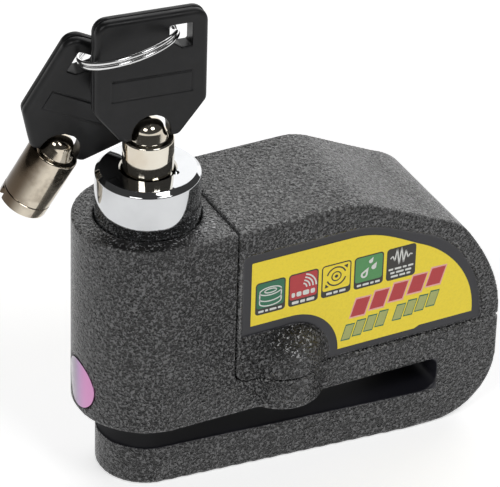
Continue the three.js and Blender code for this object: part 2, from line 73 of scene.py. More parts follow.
HALF = -body_low.x          # half the body's thickness and the barrel's radius
TOP = body_high.z
NOSE_X = body_high.x
RIDGE_X = 36.6              # where the flat top turns down
SLOPE = 0.488               # fall of the sloping top per mm
EDGE = 1.15                 # rounding of the outer edges
SLOT_TOP = 14.5
JAW_TOP = 7.9
SLOT_END = 54.2
JAW_TIP = 9.3
JAW_ROOT_X = 50.0
SEAM_GAP = 0.3
SEAM_X = cover_low.x - SEAM_GAP / 2
SEAM_Z = 21.0
SEAM_CORNER = 2.6
WALL = 2.4
BOSS_X = 23.2
BOSS_Y = 9.0
BOSS_R = 8.0
BOSS_DOME_Z = 24.6
# Middle and radius of the painted dark reflection with glints on each boss dome.
REFLECTION_PATCH_X = 22.4
REFLECTION_PATCH_Y = 15.0
REFLECTION_PATCH_Z = 29.3
REFLECTION_PATCH_R = 6.0
SCREW_Y = 12.0
LABEL_TOP = sticker_high.z
LABEL_BOTTOM = sticker_low.z
LABEL_LEFT = sticker_low.x
LABEL_BORDER = 1.9
LABEL_DEPTH = 0.5
SLEEVE_R = sleeve_high.x
SLEEVE_TOP = sleeve_high.z
SLEEVE_BOTTOM = sleeve_low.z
BORE_R = 9.78
BOLT_Z = 38.5
TRAVEL = 8.5
PLUG_R = (plug_high.z - plug_low.z) / 2
PLUG_Z = (plug_high.z + plug_low.z) / 2
SPRING_Y = 6.4
KEY_TOP = 94.6
KEY_HALF = 10.4
KEY_THICK = 3.4
KEY_SIDE = 18.3
KEY_FOOT = 24.9
KEY_FOOT_HALF = 5.3
SHOULDER = 25.05
SHANK_R = 4.7
SHANK_BORE = 3.0
SHANK_TIP = 37.8
KEY_TURN = math.radians(-7)
RING_R = 9.05
RING_WIRE = 0.38

VOXEL = 0.3
KEY_VOXEL = 0.17

# ---------------------------------------------------------------- outlines


def arc(cx, cy, r, start, end, steps):
    """Points on a circle from start to end degrees."""
    turns = [math.radians(start + (end - start) * i / steps) for i in range(steps + 1)]
    return [(cx + r * math.cos(a), cy + r * math.sin(a)) for a in turns]


def bezier(p0, p1, p2, p3, steps=16):
    """Points on a cubic Bezier curve, without its first point."""
    points = []
    for i in range(1, steps + 1):
        t = i / steps
        k = ((1 - t) ** 3, 3 * t * (1 - t) ** 2, 3 * t * t * (1 - t), t ** 3)
        points.append(tuple(sum(w * p[n] for w, p in zip(k, (p0, p1, p2, p3))) for n in (0, 1)))
    return points


def side_outline(inset=0.0, left=-30.0, top=None):
    """The body seen from the front, in X and Z, inset all round by a wall."""
    roof = TOP - inset * 1.1

    def slope_z(x):
        return roof - SLOPE * (x - RIDGE_X)

    nose = NOSE_X - inset
    shoulder_x = 54.2 - inset * 0.8
    chin_r = 13.0
    brow = (59.7 - inset, 41.0 - inset)
    points = [(left, inset), (NOSE_X - chin_r, inset)]
    points += arc(NOSE_X - chin_r, chin_r, chin_r - inset, -90, 0, 20)[1:]
    points += [(nose, 22.5)]
    points += bezier(points[-1], (nose, 29.5 - inset * 0.4), (63.1 - inset * 0.9, 36.2 - inset * 0.5), brow)
    shoulder = (shoulder_x - 1.5, slope_z(shoulder_x - 1.5))
    points += bezier(brow, (57.9 - inset, 43.5 - inset), (56.2 - inset, 44.4 - inset), shoulder, 8)
    soft = 3.2
    points += [(RIDGE_X + soft, slope_z(RIDGE_X + soft))]
    points += bezier(points[-1], (RIDGE_X + 1, slope_z(RIDGE_X + 1)), (RIDGE_X - 1, roof), (RIDGE_X - soft, roof), 8)
    points += [(left, roof)]
    return points


def round_ended(radius, half_right, root_x):
    """Plan outline: a round end about the lock pin, then straight sides."""
    end = arc(0, 0, radius, 90, 270, 64)
    return end + [(root_x, -half_right), (NOSE_X + 10, -half_right), (NOSE_X + 10, half_right), (root_x, half_right)]


def slot_outline():
    upper = 1.6
    lower = 2.6
    points = [(-40, JAW_TOP)]
    points += arc(SLOT_END - lower, JAW_TOP + lower, lower, -90, 0, 8)
    points += arc(SLOT_END - upper, SLOT_TOP - upper, upper, 0, 90, 8)
    return points + [(-40, SLOT_TOP)]


def cover_outline(clearance):
    left = SEAM_X + clearance
    bottom = SEAM_Z + clearance
    r = SEAM_CORNER - clearance
    return [(left, 80)] + arc(left + r, bottom + r, r, 180, 270, 10) + [(90, bottom), (90, 80)]


def label_outline(grow):
    """The sticker, or with grow the sunk field round it, in X and Z."""
    left = LABEL_LEFT - grow
    top = LABEL_TOP + grow
    foot = SEAM_Z - 1 if grow > 0 else LABEL_BOTTOM
    arch_r = 10 - grow
    arch = (22.8, 22.8)
    ledge = arch[1] + arch_r
    corner = 1.3 if grow > 0 else 0.25
    points = arc(left + corner, top - corner, corner, 90, 180, 6)
    points += [(left, ledge)]
    last = math.degrees(math.asin((foot - arch[1]) / arch_r))
    points += arc(*arch, arch_r, 90, last, 24)
    points += [(49, foot), (50, foot + 0.5), (61.2 + grow, foot + 0.5)]
    points += bezier(points[-1], (61.6 + grow, 31), (56 + grow, 38.4 + grow), (49 + grow * 0.7, 41.4 + grow), 20)
    points += bezier(points[-1], (44.5, 43.8 + grow), (40.5, top), (35.2, top), 10)
    return points


def key_outline():
    corner = 2.6
    bend = 1.2
    points = [(KEY_FOOT_HALF, -KEY_FOOT), (KEY_HALF - bend * 0.7, -KEY_SIDE - bend * 0.9)]
    points += bezier(points[-1], (KEY_HALF, -KEY_SIDE), (KEY_HALF, -KEY_SIDE), (KEY_HALF, -KEY_SIDE + bend), 6)
    points += arc(KEY_HALF - corner, -corner, corner, 0, 90, 12)
    return points + [(-x, z) for x, z in reversed(points)]


def ring_hole_outline():
    return [(3.2, -2.3), (3.2, -5.2), (5.4, -7.0), (7.4, -7.0), (7.4, -2.3)]


# ---------------------------------------------------------------- mesh tools


def link(name, bm):
    mesh = bpy.data.meshes.new(name)
    bm.to_mesh(mesh)
    bm.free()
    obj = bpy.data.objects.new(name, mesh)
    bpy.context.scene.collection.objects.link(obj)
    return obj


def prism(outline, low, high, along="Y"):
    """Closed solid: an outline in X and Z pushed along Y, or in X and Y pushed along Z."""
    bm = bmesh.new()
    if along == "Y":
        points = [(a, low, b) for a, b in outline]
        push = Vector((0, high - low, 0))
    else:
        points = [(a, b, low) for a, b in outline]
        push = Vector((0, 0, high - low))
    face = bm.faces.new([bm.verts.new(p) for p in points])
    grown = bmesh.ops.extrude_face_region(bm, geom=[face])["geom"]
    bmesh.ops.translate(bm, verts=[v for v in grown if isinstance(v, bmesh.types.BMVert)], vec=push)
    bmesh.ops.recalc_face_normals(bm, faces=bm.faces)
    return link("prism", bm)


def block(x0, x1, y0, y1, z0, z1):
    return prism([(x0, z0), (x1, z0), (x1, z1), (x0, z1)], y0, y1)


def lathe(profile, sides=96, at=(0, 0, 0), lay=None):
    """Turned solid of (radius, height) pairs about Z, which end on the axis or close on themselves."""
    bm = bmesh.new()
    rings = []
    for r, z in profile:
        count = sides if r > 1e-6 else 1
        angles = [2 * math.pi * k / count for k in range(count)]
        rings.append([bm.verts.new((r * math.cos(a), r * math.sin(a), z)) for a in angles])
    pairs = list(zip(rings, rings[1:]))
    if len(rings[0]) > 1:
        pairs.append((rings[-1], rings[0]))
    for low, high in pairs:
        for k in range(sides):
            n = (k + 1) % sides
            corners = [low[k % len(low)], low[n % len(low)], high[n % len(high)], high[k % len(high)]]
            corners = list(dict.fromkeys(corners))
            if len(corners) > 2:
                bm.faces.new(corners)
    bmesh.ops.recalc_face_normals(bm, faces=bm.faces)
    if lay:
        bm.transform(Matrix.Rotation(math.pi / 2, 4, lay))
    bm.transform(Matrix.Translation(at))
    return link("turned", bm)


def rod(r, z0, z1, x=0.0, y=0.0, sides=96):
    return lathe([(0, z0), (r, z0), (r, z1), (0, z1)], sides, (x, y, 0))


def rod_x(r, x0, x1, z, sides=64):
    return lathe([(0, x0), (r, x0), (r, x1), (0, x1)], sides, (0, 0, z), "Y")


def bake(obj):
    """Applies the object's modifiers to its mesh."""
    shown = obj.evaluated_get(bpy.context.evaluated_depsgraph_get())
    mesh = bpy.data.meshes.new_from_object(shown)
    old = obj.data
    obj.modifiers.clear()
    obj.data = mesh
    bpy.data.meshes.remove(old)
    return obj


def combine(base, tools, operation="DIFFERENCE"):
    for tool in tools:
        cut = base.modifiers.new("cut", "BOOLEAN")
        cut.operation = operation
        cut.solver = "EXACT"
        cut.object = tool
    bake(base)
    for tool in tools:
        bpy.data.objects.remove(tool)
    return base


def copy_of(obj):
    twin = obj.copy()
    twin.data = obj.data.copy()
    bpy.context.scene.collection.objects.link(twin)
    return twin


def round_edges(obj, width, segments=4, angle=35):
    soft = obj.modifiers.new("round", "BEVEL")
    soft.width = width
    soft.segments = segments
    soft.limit_method = "ANGLE"
    soft.angle_limit = math.radians(angle)
    soft.miter_outer = "MITER_ARC"
    return bake(obj)


def moulded(obj, voxel, passes):
    """Rebuilds the surface evenly and softens its edges, as a casting or moulding has them."""
    even = obj.modifiers.new("even", "REMESH")
    even.mode = "VOXEL"
    even.voxel_size = voxel
    soft = obj.modifiers.new("soft", "SMOOTH")
    soft.factor = 0.5
    soft.iterations = passes
    return bake(obj)


def coordinates(mesh):
    flat = np.empty(len(mesh.vertices) * 3)
    mesh.vertices.foreach_get("co", flat)
    return flat.reshape(-1, 3)


def inside_by(points, outline):
    """Distance inside an outline, negative outside it, for rows of two coordinates."""
    nearest = np.full(len(points), 1e9)
    inside = np.zeros(len(points), dtype=bool)
    x, y = points[:, 0], points[:, 1]
    for (ax, ay), (bx, by) in zip(outline, outline[1:] + outline[:1]):
        dx, dy = bx - ax, by - ay
        length = max(dx * dx + dy * dy, 1e-12)
        t = np.clip(((x - ax) * dx + (y - ay) * dy) / length, 0, 1)
        nearest = np.minimum(nearest, np.hypot(x - ax - t * dx, y - ay - t * dy))
        crosses = (ay > y) != (by > y)
        if dy:
            inside ^= crosses & (x < ax + (y - ay) * dx / dy)
    return np.where(inside, nearest, -nearest)


def finish_piece(obj, name, body, materials, nodes=(), place=None, sharp=None):
    """Names a piece, scales it to metres, places it and ties it to the frame."""
    if place is not None:
        obj.data.transform(place)
    obj.data.transform(Matrix.Scale(MM, 4))
    obj.name = name
    obj.data.name = name
    for mat in materials:
        obj.data.materials.append(mat)
    obj.data.shade_smooth()
    if sharp:
        obj.data.set_sharp_from_angle(angle=math.radians(sharp))
    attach(obj, body)
    if nodes:
        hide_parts(*nodes)
    return obj


# ---------------------------------------------------------------- materials


class Finish:
    """A Principled material and short ways to feed it."""

    def __init__(self, name, color, roughness, metallic=0.0):
        self.material = bpy.data.materials.new(name)
        self.material.use_nodes = True
        self.tree = self.material.node_tree
        self.shader = self.tree.nodes["Principled BSDF"]
        self.shader.inputs["Base Color"].default_value = (*color, 1)
        self.shader.inputs["Roughness"].default_value = roughness
        self.shader.inputs["Metallic"].default_value = metallic
        place = self.tree.nodes.new("ShaderNodeTexCoord")
        self.place = self.scaled(place.outputs["Object"], (1 / MM,) * 3)

    def join(self, source, target):
        self.tree.links.new(source, target)

    def scaled(self, vector, scale):
        mapping = self.tree.nodes.new("ShaderNodeMapping")
        mapping.inputs["Scale"].default_value = scale
        self.join(vector, mapping.inputs["Vector"])
        return mapping.outputs["Vector"]

    def noise(self, scale, detail=2.0, stretch=None, distortion=0.0):
        """Noise from 0 to 1 with scale features to the millimetre."""
        node = self.tree.nodes.new("ShaderNodeTexNoise")
        node.inputs["Scale"].default_value = scale
        node.inputs["Detail"].default_value = detail
        node.inputs["Distortion"].default_value = distortion
        self.join(self.scaled(self.place, stretch) if stretch else self.place, node.inputs["Vector"])
        return node.outputs["Fac"]

    def cells(self, scale, smooth=0.6):
        node = self.tree.nodes.new("ShaderNodeTexVoronoi")
        node.feature = "SMOOTH_F1"
        node.inputs["Scale"].default_value = scale
        node.inputs["Smoothness"].default_value = smooth
        self.join(self.place, node.inputs["Vector"])
        return node.outputs["Distance"]

    def math(self, operation, a, b, clamp=False):
        node = self.tree.nodes.new("ShaderNodeMath")
        node.operation = operation
        node.use_clamp = clamp
        for socket, value in zip(node.inputs, (a, b)):
            if isinstance(value, (int, float)):
                socket.default_value = value
            else:
                self.join(value, socket)
        return node.outputs["Value"]

    def spread(self, value, low, high, to_low=0.0, to_high=1.0):
        node = self.tree.nodes.new("ShaderNodeMapRange")
        node.interpolation_type = "SMOOTHSTEP"
        for socket, number in (("From Min", low), ("From Max", high), ("To Min", to_low), ("To Max", to_high)):
            node.inputs[socket].default_value = number
        self.join(value, node.inputs["Value"])
        return node.outputs["Result"]

    def mix(self, factor, a, b):
        node = self.tree.nodes.new("ShaderNodeMix")
        node.data_type = "RGBA"
        self.join(factor, node.inputs["Factor"])
        for socket, value in ((node.inputs[6], a), (node.inputs[7], b)):
            if isinstance(value, tuple):
                socket.default_value = (*value, 1)
            else:
                self.join(value, socket)
        return node.outputs[2]

    def along(self, axis):
        node = self.tree.nodes.new("ShaderNodeSeparateXYZ")
        self.join(self.place, node.inputs["Vector"])
        return node.outputs[axis]

    def toward(self, origin, direction):
        """Millimetres from a point along a direction."""
        offset = self.tree.nodes.new("ShaderNodeVectorMath")
        offset.operation = "SUBTRACT"
        self.join(self.place, offset.inputs[0])
        offset.inputs[1].default_value = origin
        dot = self.tree.nodes.new("ShaderNodeVectorMath")
        dot.operation = "DOT_PRODUCT"
        self.join(offset.outputs["Vector"], dot.inputs[0])
        dot.inputs[1].default_value = direction
        return dot.outputs["Value"]

    def facing_up(self):
        """1 on upward faces, 0 on upright ones."""
        geometry = self.tree.nodes.new("ShaderNodeNewGeometry")
        parts = self.tree.nodes.new("ShaderNodeSeparateXYZ")
        self.join(geometry.outputs["Normal"], parts.inputs["Vector"])
        return self.spread(parts.outputs["Z"], 0.45, 0.95)

    def attribute(self, name):
        node = self.tree.nodes.new("ShaderNodeAttribute")
        node.attribute_name = name
        return node.outputs["Fac"]

    def edge_highlight_mask(self):
        """0 on flats, rising along sharp outer edges, where the painted edge highlight goes."""
        node = self.tree.nodes.new("ShaderNodeNewGeometry")
        return self.spread(node.outputs["Pointiness"], 0.51, 0.56)

    def bump(self, height, depth, strength=1.0):
        node = self.tree.nodes.new("ShaderNodeBump")
        node.inputs["Distance"].default_value = depth * MM
        if isinstance(strength, (int, float)):
            node.inputs["Strength"].default_value = strength
        else:
            self.join(strength, node.inputs["Strength"])
        self.join(height, node.inputs["Height"])
        self.join(node.outputs["Normal"], self.shader.inputs["Normal"])

    def color(self, source):
        self.join(source, self.shader.inputs["Base Color"])

    def roughness(self, source):
        self.join(source, self.shader.inputs["Roughness"])


def hammered_paint():
    """Fine hammered black paint, plain in the sunk label field and inside the slot, with painted light: lighter upward
    faces, a painted highlight along sharp edges, and a painted dark reflection with painted glints in front of the bore
    and on the boss domes.
    """
    f = Finish("hammered_paint", (0.02, 0.02, 0.021), 0.4)
    field = f.attribute("field")
    open_paint = f.math("SUBTRACT", 1.0, field)
    pits = f.cells(1.6)
    grain = f.noise(2.1, 1.6, distortion=0.9)
    fine = f.noise(4.5, 2.0)
    height = f.math("ADD", f.math("MULTIPLY", pits, 0.7), f.math("MULTIPLY", grain, 1.4))
    height = f.math("ADD", height, f.math("MULTIPLY", fine, 0.25))
    mottle = f.spread(grain, 0.5, 0.585)
    painted = f.mix(mottle, (0.002, 0.002, 0.0023), (0.17, 0.17, 0.172))
    # Painted light: upward faces get a lighter mottle, standing in for the light falling on the tops.
    painted_top_light = f.mix(mottle, (0.022, 0.022, 0.022), (0.42, 0.42, 0.417))
    painted = f.mix(f.facing_up(), painted, painted_top_light)
    # Painted reflection: in front of the bore and on the boss domes the paint turns near black with painted glints, and
    # it is also glossier there.
    gloss_and_painted_reflection = f.attribute("gloss_and_painted_reflection")
    glint = f.math("MULTIPLY", f.spread(grain, 0.6, 0.64), gloss_and_painted_reflection)
    painted = f.mix(gloss_and_painted_reflection, painted, f.mix(glint, (0.002, 0.002, 0.0023), (0.55, 0.55, 0.56)))
    # Painted highlight: a lighter grey along sharp outer edges, standing in for light caught on them.
    painted_edge_highlight = f.math("MULTIPLY", f.edge_highlight_mask(), f.spread(grain, 0.45, 0.585, 0.28, 0.6))
    with_edge_highlight = f.mix(painted_edge_highlight, painted, (0.36, 0.36, 0.36))
    f.color(f.mix(field, with_edge_highlight, (0.013, 0.013, 0.018)))
    gloss = f.mix(gloss_and_painted_reflection, f.mix(mottle, (0.13,) * 3, (0.24,) * 3), (0.05,) * 3)
    f.roughness(f.mix(field, gloss, (0.36,) * 3))
    f.bump(height, 0.8, f.math("MULTIPLY", open_paint, 1.0))
    return f.material


def plated(name, color, roughness, tint=None):
    """Bright plating with faint polishing marks and a little uneven sheen."""
    f = Finish(name, color, roughness, 1.0)
    haze = f.noise(0.12, 3.0)
    marks = f.noise(2.0, 2.0, (1, 1, 9))
    f.roughness(f.spread(haze, 0.3, 0.75, roughness * 0.7, roughness * 1.7))
    dull = tuple(c * 0.86 for c in color)
    f.color(f.mix(f.spread(haze, 0.35, 0.8), color, tint or dull))
    f.bump(marks, 0.002, 0.4)
    return f.material


def moulded_plastic(name, color, roughness=0.42, grain=9.0, specular=0.5):
    """Moulded plastic with a fine spark-eroded grain and polished high spots."""
    f = Finish(name, color, roughness)
    speck = f.noise(grain, 3.0)
    cloud = f.noise(0.25, 2.0)
    light = tuple(min(1.0, c * 1.5 + 0.004) for c in color)
    f.color(f.mix(f.spread(cloud, 0.35, 0.75), color, light))
    f.roughness(f.spread(cloud, 0.3, 0.7, roughness * 0.85, roughness * 1.2))
    f.bump(speck, 0.02, 0.5)
    f.shader.inputs["Specular IOR Level"].default_value = specular
    return f.material


def machined(name, color, roughness=0.28):
    """Turned or ground metal with fine tool marks round it."""
    f = Finish(name, color, roughness, 1.0)
    marks = f.noise(3.0, 2.0, (0.4, 0.4, 12))
    stain = f.noise(0.3, 3.0)
    f.color(f.mix(f.spread(stain, 0.4, 0.8), color, tuple(c * 0.7 for c in color)))
    f.roughness(f.spread(marks, 0.3, 0.7, roughness * 0.8, roughness * 1.4))
    f.bump(marks, 0.01, 0.5)
    return f.material


def lilac_mirror():
    """Polished side plug, tinted from grey-lilac at the back to pink at the front."""
    f = Finish("lilac_mirror", (0.4, 0.3, 0.45), 0.16, 1.0)
    across = f.spread(f.along("Y"), 2.5, -3.5)
    cool = f.mix(f.spread(f.along("Y"), 1.5, -0.8), (0.27, 0.23, 0.3), (0.28, 0.25, 0.4))
    f.color(f.mix(across, cool, (0.56, 0.27, 0.47)))
    haze = f.noise(0.8, 3.0)
    f.roughness(f.spread(haze, 0.3, 0.7, 0.12, 0.24))
    return f.material


def nickel_painted_shade(origin, across):
    """Nickel of the hanging key's stem, with painted shade: dull brown along one side and dark at the other edge."""
    f = Finish("nickel_painted_shade", (0.46, 0.4, 0.33), 0.14, 1.0)
    side = f.toward(origin, across)
    haze = f.noise(0.5, 3.0)
    unshaded = f.mix(f.spread(haze, 0.35, 0.75), (0.64, 0.575, 0.47), (0.46, 0.4, 0.32))
    # Painted shade: the stem darkens to dull brown on one side and near black at the far edge, by direction in the
    # part.
    painted_shade_side = f.mix(f.spread(side, 1.0, 4.0), unshaded, (0.1, 0.075, 0.052))
    f.color(f.mix(f.spread(side, -3.0, -4.5), painted_shade_side, (0.05, 0.042, 0.034)))
    f.roughness(f.spread(haze, 0.3, 0.75, 0.08, 0.2))
    f.bump(f.noise(2.0, 2.0, (1, 1, 9)), 0.004, 0.4)
    return f.material


def print_ink(name, color, roughness=0.4):
    """Screen-printed ink with slightly uneven cover."""
    f = Finish(name, color, roughness)
    speck = f.noise(2.5, 4.0)
    f.color(f.mix(f.spread(speck, 0.35, 0.8), color, tuple(c * 0.93 for c in color)))
    f.bump(speck, 0.002, 0.3)
    return f.material


HAMMERED = hammered_paint()
CHROME = plated("bright_chrome", (0.62, 0.63, 0.64), 0.04)
NICKEL = plated("bright_nickel", (0.74, 0.7, 0.61), 0.07, (0.6, 0.52, 0.41))
RING_STEEL = plated("ring_steel", (0.74, 0.74, 0.74), 0.14)
KEY_BLACK = moulded_plastic("key_black", (0.008, 0.008, 0.0085), 0.4, specular=0.28)
LILAC = lilac_mirror()
STICKER = print_ink("sticker_yellow", (0.95, 0.74, 0.022), 0.4)
INK_DARK = print_ink("ink_dark", (0.022, 0.02, 0.014))
INK_WHITE = print_ink("ink_white", (0.75, 0.76, 0.72))
INK_RED = print_ink("ink_red", (0.5, 0.03, 0.035))
INK_PINK = print_ink("ink_pink", (0.85, 0.42, 0.38))
INK_GREEN = print_ink("ink_green", (0.015, 0.16, 0.075))
INK_LEAF = print_ink("ink_leaf", (0.08, 0.3, 0.09))
INK_SAGE = print_ink("ink_sage", (0.42, 0.45, 0.14))
STEEL = machined("machined_steel", (0.5, 0.5, 0.52))
SCREW_BLACK = machined("black_oxide", (0.07, 0.07, 0.075), 0.35)
BRASS = machined("turned_brass", (0.62, 0.44, 0.18))
COPPER = machined("spring_copper", (0.6, 0.3, 0.16))
RUBBER = moulded_plastic("black_rubber", (0.016, 0.016, 0.016), 0.7, 5.0)
CASE_GREY = moulded_plastic("case_grey", (0.11, 0.12, 0.13), 0.5)
BOARD = moulded_plastic("board_green", (0.02, 0.17, 0.06), 0.35)
CHIP = moulded_plastic("chip_black", (0.02, 0.02, 0.02), 0.5)

SLOT_FINISH = {
    "steel": STEEL,
    "brass": BRASS,
    "copper": COPPER,
    "rubber_black": RUBBER,
    "case_grey": CASE_GREY,
    "board_green": BOARD,
    "chip_black": CHIP,
}


def finish_hidden_nodes():
    """Gives every CAD node that stays its procedural finish, by its material slot."""
    for part in frame["record"]["subparts"]:
        obj = frame["nodes"][part["node"]]
        finish = SLOT_FINISH.get(part["material_slot"])
        if finish is None:
            continue
        for slot in obj.material_slots:
            slot.material = finish


# ---------------------------------------------------------------- the casting and the alarm cover


def screw_boss(side):
    steps = 16
    dome = [(BOSS_R * math.cos(a), BOSS_DOME_Z + BOSS_R * math.sin(a))
            for a in (math.pi / 2 * i / steps for i in range(steps))]
    profile = [(0, SLOT_TOP), (BOSS_R, SLOT_TOP)] + dome + [(0, BOSS_DOME_Z + BOSS_R)]
    return lathe(profile, 96, (BOSS_X, side * BOSS_Y, 0))


def outer_form():
    """The whole casting before it is split along the seam."""
    side = prism(side_outline(), -HALF, HALF)
    upper = prism(round_ended(HALF, HALF, 30.0), -5, 70, "Z")
    upper = round_edges(combine(upper, [copy_of(side)], "INTERSECT"), EDGE, 5)
    jaw = prism(round_ended(JAW_TIP, HALF, JAW_ROOT_X), -5, 30, "Z")
    jaw = round_edges(combine(jaw, [side], "INTERSECT"), EDGE, 5)
    middle = (SLOT_TOP + JAW_TOP) / 2
    combine(upper, [block(-30, 90, -30, 30, -20, middle - 0.5)])
    combine(jaw, [block(-30, 90, -30, 30, middle + 0.5, 40)])
    combine(upper, [jaw, screw_boss(-1), screw_boss(1)], "UNION")
    return combine(upper, [prism(slot_outline(), -30, 30)])


def sink_label_fields(obj):
    """Presses the smooth label field into both faces and marks it for the paint."""
    mesh = obj.data
    points = coordinates(mesh)
    depth_in = inside_by(points[:, [0, 2]], label_outline(LABEL_BORDER))
    flat = np.clip((np.abs(points[:, 1]) - (HALF - 0.35)) / 0.3, 0, 1)
    flat[np.abs(points[:, 1]) > HALF + 0.2] = 0
    ramp = np.clip(depth_in / 0.55 + 0.5, 0, 1)
    ramp = ramp * ramp * (3 - 2 * ramp) * flat
    points[:, 1] -= np.sign(points[:, 1]) * ramp * LABEL_DEPTH
    mesh.vertices.foreach_set("co", points.ravel())
    field = mesh.attributes.new("field", "FLOAT", "POINT")
    field.data.foreach_set("value", ramp)


def smooth_slot(obj):
    """Marks the slot's walls for the plain paint inside it."""
    points = coordinates(obj.data)
    within = (points[:, 2] > JAW_TOP - 0.12) & (points[:, 2] < SLOT_TOP + 0.12) & (points[:, 0] < SLOT_END + 0.12)
    field = obj.data.attributes.new("field", "FLOAT", "POINT")
    field.data.foreach_set("value", within.astype(float))


def mark_gloss_and_painted_reflection(obj):
    """Marks where the paint is made glossier and given a painted dark reflection with painted glints: in front of the
    bore and on the boss domes.
    """
    x, y, z = coordinates(obj.data).T
    on_top = np.clip((z - (TOP - 2.2)) / 1.2, 0, 1)
    by_bore = np.clip((HALF + 0.4 - np.hypot(x, y)) / 1.2, 0, 1) * np.clip((-y - 3) / 4, 0, 1)
    far = np.sqrt((x - REFLECTION_PATCH_X) ** 2 + (np.abs(y) - REFLECTION_PATCH_Y) ** 2 + (z - REFLECTION_PATCH_Z) ** 2)
    on_dome = np.clip((REFLECTION_PATCH_R - far) / 2.4, 0, 1)
    gloss_and_painted_reflection = obj.data.attributes.new("gloss_and_painted_reflection", "FLOAT", "POINT")
    gloss_and_painted_reflection.data.foreach_set("value", np.maximum(on_top * by_bore, on_dome))


def body_casting(form):
    pockets = [rod_x(2.3, -12.2, -8, z) for z in (BOLT_Z, BOLT_Z - TRAVEL)]
    cuts = [
        prism(cover_outline(-SEAM_GAP / 2), -40, 40),
        rod(BORE_R, 18.2, TOP + 1),
        rod(3.6, SLOT_TOP - 1, 19),
        rod(3.9, 4.2, JAW_TOP + 1),
        rod_x(PLUG_R + 0.12, -HALF - 2, -10.3, PLUG_Z),
        rod_x(1.6, -11, -8, PLUG_Z),
        rod(11, 50.2, 51.9),
        block(4.1, 8.9, -2.4, 2.4, 15.8, 18.7),
    ]
    for side in (-1, 1):
        cuts.append(rod(2.3, SLOT_TOP - 1, SEAM_Z + 1, BOSS_X, side * SCREW_Y, 48))
        cuts.append(rod(3.8, SLOT_TOP - 1, SLOT_TOP + 4.4, BOSS_X, side * SCREW_Y, 48))
    casting = moulded(combine(form, cuts + pockets), VOXEL, 6)
    smooth_slot(casting)
    mark_gloss_and_painted_reflection(casting)
    return finish_piece(casting, "body_casting", "housing", [HAMMERED], ["main_body"])


def cover_casting(form):
    inner = prism(side_outline(WALL, SEAM_X + 2.0), -(HALF - WALL), HALF - WALL)
    posts = [rod(4.2, 10, BOSS_DOME_Z + 8, BOSS_X, side * SCREW_Y, 48) for side in (-1, 1)]
    combine(inner, posts)
    combine(form, [prism(cover_outline(SEAM_GAP / 2), -40, 40)], "INTERSECT")
    holes = [rod(1.8, SEAM_Z - 1, 29.6, BOSS_X, side * SCREW_Y, 48) for side in (-1, 1)]
    cover = moulded(combine(form, [inner] + holes), VOXEL, 6)
    sink_label_fields(cover)
    mark_gloss_and_painted_reflection(cover)
    return finish_piece(cover, "cover_casting", "housing", [HAMMERED], ["alarm_cover"])


form = outer_form()
cover_form = copy_of(form)
body_casting(form)
cover_casting(cover_form)

# ---------------------------------------------------------------- lock cylinder


def chrome_sleeve():
    bore = 7.3
    rim = arc(SLEEVE_R - 0.45, SLEEVE_TOP - 1.05, 0.45, 0, 58, 6)
    profile = [
        (3.7, SLEEVE_BOTTOM),
        (SLEEVE_R - 0.9, SLEEVE_BOTTOM),
        (SLEEVE_R, SLEEVE_BOTTOM + 0.9),
    ]
    profile += rim
    profile += arc(SLEEVE_R - 1.05, SLEEVE_TOP - 0.35, 0.35, 40, 90, 5)
    profile += [
        (SHANK_R + 0.55, SLEEVE_TOP),
        (SHANK_R + 0.28, SLEEVE_TOP - 0.25),
        (SHANK_R + 0.25, SLEEVE_TOP - 1.6),
        (bore, SLEEVE_TOP - 1.6),
        (bore, 36.8),
        (3.6, 36.8),
        (3.6, SLEEVE_BOTTOM),
    ]
    sleeve = lathe(profile[1:], 160)
    lug = math.radians(-47)
    reach = SHANK_R + 0.5
    notch = rod(0.75, SLEEVE_TOP - 0.8, SLEEVE_TOP + 1, reach * math.cos(lug), reach * math.sin(lug), 24)
    springs = [rod(2.4, SLEEVE_BOTTOM - 1, 35.8, 0, side * SPRING_Y, 48) for side in (-1, 1)]
    slot = block(-SLEEVE_R - 1, -3, -1.8, 1.8, SLEEVE_BOTTOM - 1, SLEEVE_BOTTOM + 5.6)
    combine(sleeve, [notch, rod_x(2.0, -SLEEVE_R - 1, -1.5, BOLT_Z), slot] + springs)
    return finish_piece(sleeve, "chrome_sleeve", "cylinder", [CHROME], ["lock_cylinder"], sharp=28)


def wound_wire(radius, wire, rise, turns, steps):
    """Round wire wound about Z; rise gives its height at each turn counted from the start."""
    curve = bpy.data.curves.new("wire", "CURVE")
    curve.dimensions = "3D"
    curve.bevel_depth = wire
    curve.bevel_resolution = 6
    curve.use_fill_caps = True
    line = curve.splines.new("POLY")
    line.points.add(steps)
    for i, point in enumerate(line.points):
        turn = i / steps * turns
        a = turn * 2 * math.pi
        point.co = (radius * math.cos(a), radius * math.sin(a), rise(turn), 1)
    path = bpy.data.objects.new("path", curve)
    bpy.context.scene.collection.objects.link(path)
    mesh = bpy.data.meshes.new_from_object(path.evaluated_get(bpy.context.evaluated_depsgraph_get()))
    bpy.data.objects.remove(path)
    obj = bpy.data.objects.new("wire", mesh)
    bpy.context.scene.collection.objects.link(obj)
    return obj


def return_spring(side, word):
    """Spring under the cylinder; the real one shortens as the cylinder is pushed down on it, but this coil keeps one
    length.
    """
    node = f"return_spring_{word}"
    low, high = node_box(node)
    wire = 0.35
    turns = 7
    foot = low.z + wire
    pitch = (high.z - low.z - 2 * wire) / turns
    spring = wound_wire(1.75, wire, lambda turn: foot + turn * pitch, turns, 168)
    place = Matrix.Translation((0, side * SPRING_Y, 0))
    finish_piece(spring, f"coil_spring_{word}", "housing", [STEEL], [node], place)
    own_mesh(spring)


def side_plug():
    disc = rod_x(PLUG_R, -HALF - 1, plug_high.x, PLUG_Z, 128)
    combine(disc, [rod(HALF - 0.05, 10, 35, sides=256)], "INTERSECT")
    round_edges(disc, 0.35, 4, 50)
    return finish_piece(disc, "polished_side_plug", "housing", [LILAC], ["end_plug"], sharp=40)


